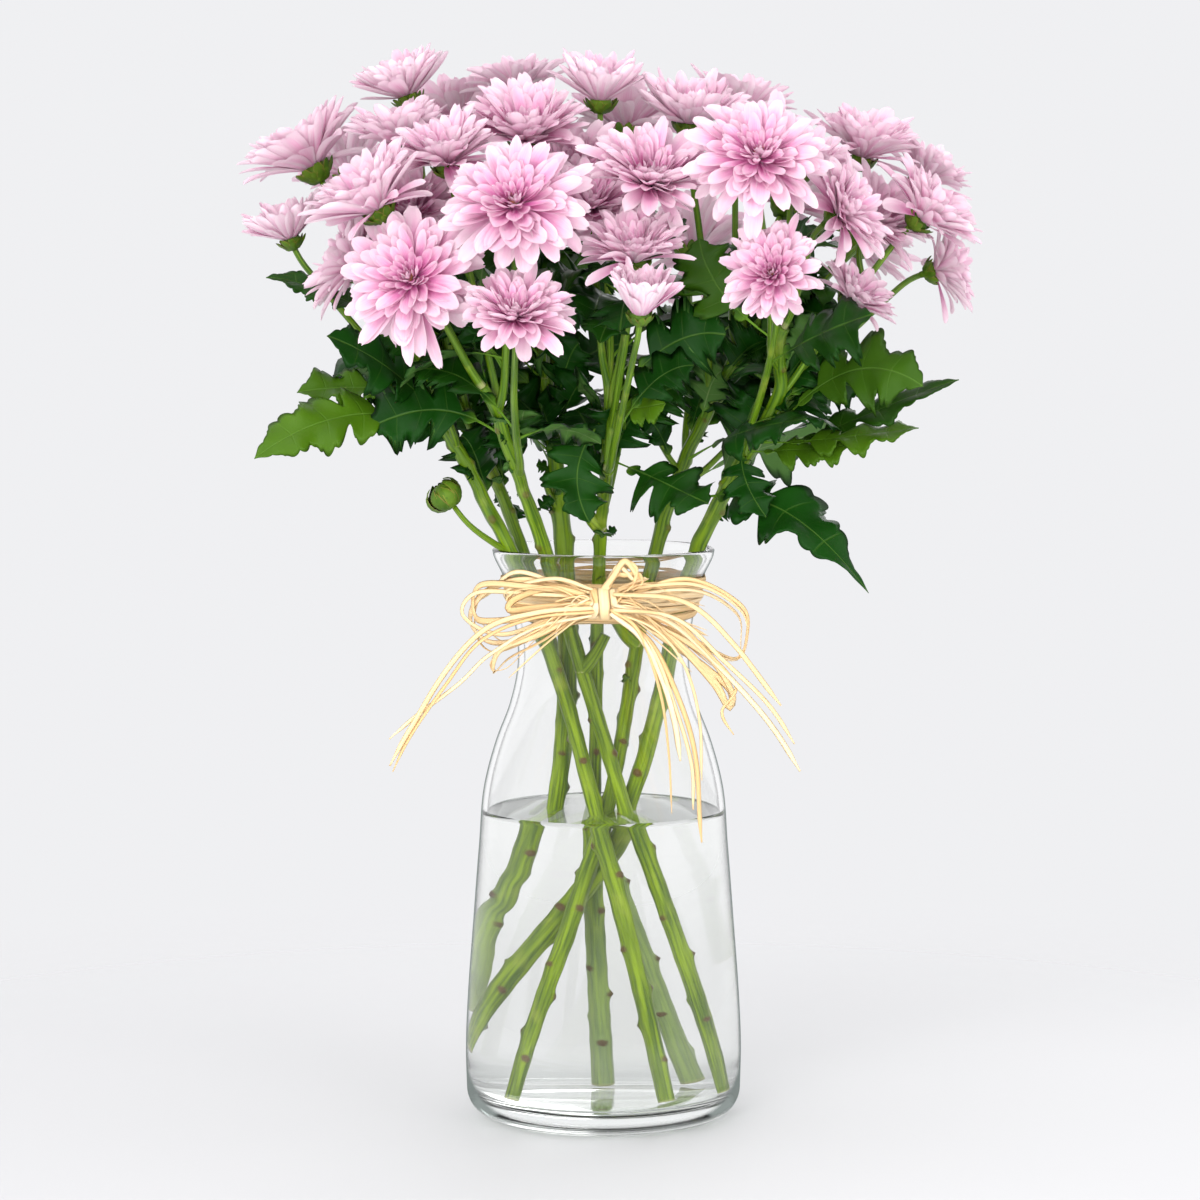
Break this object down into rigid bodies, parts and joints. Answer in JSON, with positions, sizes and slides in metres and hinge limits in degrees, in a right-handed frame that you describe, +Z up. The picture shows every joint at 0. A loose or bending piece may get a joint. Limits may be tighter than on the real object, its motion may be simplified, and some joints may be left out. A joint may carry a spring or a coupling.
{
  "type": "chrysanthemums in a glass vase",
  "caption": "Bunch of cut pink spray chrysanthemums standing in water in a clear glass carafe vase with a flared mouth and a raffia bow round its neck.",
  "frame": {"origin": "centre of the vase's flat foot, on the surface it stands on", "axes": "+Z up; -Y is the front, where the raffia bow is; +X to the right seen from the front"},
  "size_m": [0.3144, 0.2712, 0.4672],
  "materials": {
    "clear_glass": "clear polished soda glass with a heavy floor",
    "water": null,
    "stem": "fresh green stalk, ribbed, with brown leaf scars",
    "petal": "soft pink petals, paler at the edges",
    "bud": "green bud scales",
    "leaf": "dark green lobed leaf with pale veins, satin",
    "raffia": "dry straw-coloured raffia ribbon"
  },
  "bodies": {
    "root": {"flower_01": "petal", "flower_02": "petal", "flower_03": "petal", "flower_04": "petal", "flower_05": "petal", "flower_06": "petal", "flower_07": "petal", "flower_08": "petal", "flower_09": "petal", "flower_10": "petal", "flower_11": "petal", "flower_12": "petal", "flower_13": "petal", "flower_14": "petal", "flower_15": "petal", "flower_16": "petal", "flower_17": "petal", "flower_18": "petal", "flower_19": "petal", "flower_20": "petal", "flower_21": "petal", "flower_22": "petal", "flower_23": "petal", "flower_24": "petal", "flower_25": "petal", "flower_26": "petal", "flower_27": "petal", "flower_28": "petal", "flower_29": "petal", "flower_30": "petal", "flower_31": "petal", "flower_32": "petal", "flower_33": "petal", "flower_34": "petal", "flower_35": "petal", "flower_36": "petal", "flower_bud": "bud", "glass_vase": "clear_glass", "leaf_01": "leaf", "leaf_02": "leaf", "leaf_03": "leaf", "leaf_04": "leaf", "leaf_05": "leaf", "leaf_06": "leaf", "leaf_07": "leaf", "leaf_08": "leaf", "raffia_band": "raffia", "raffia_bow": "raffia", "raffia_tail_front": "raffia", "raffia_tail_left": "raffia", "raffia_tail_right": "raffia", "raffia_tail_right_short": "raffia", "stem_1": "stem", "stem_2": "stem", "stem_3": "stem", "stem_4": "stem", "stem_5": "stem", "stem_6": "stem", "stem_7": "stem", "water": "water"}
  },
  "joints": []
}
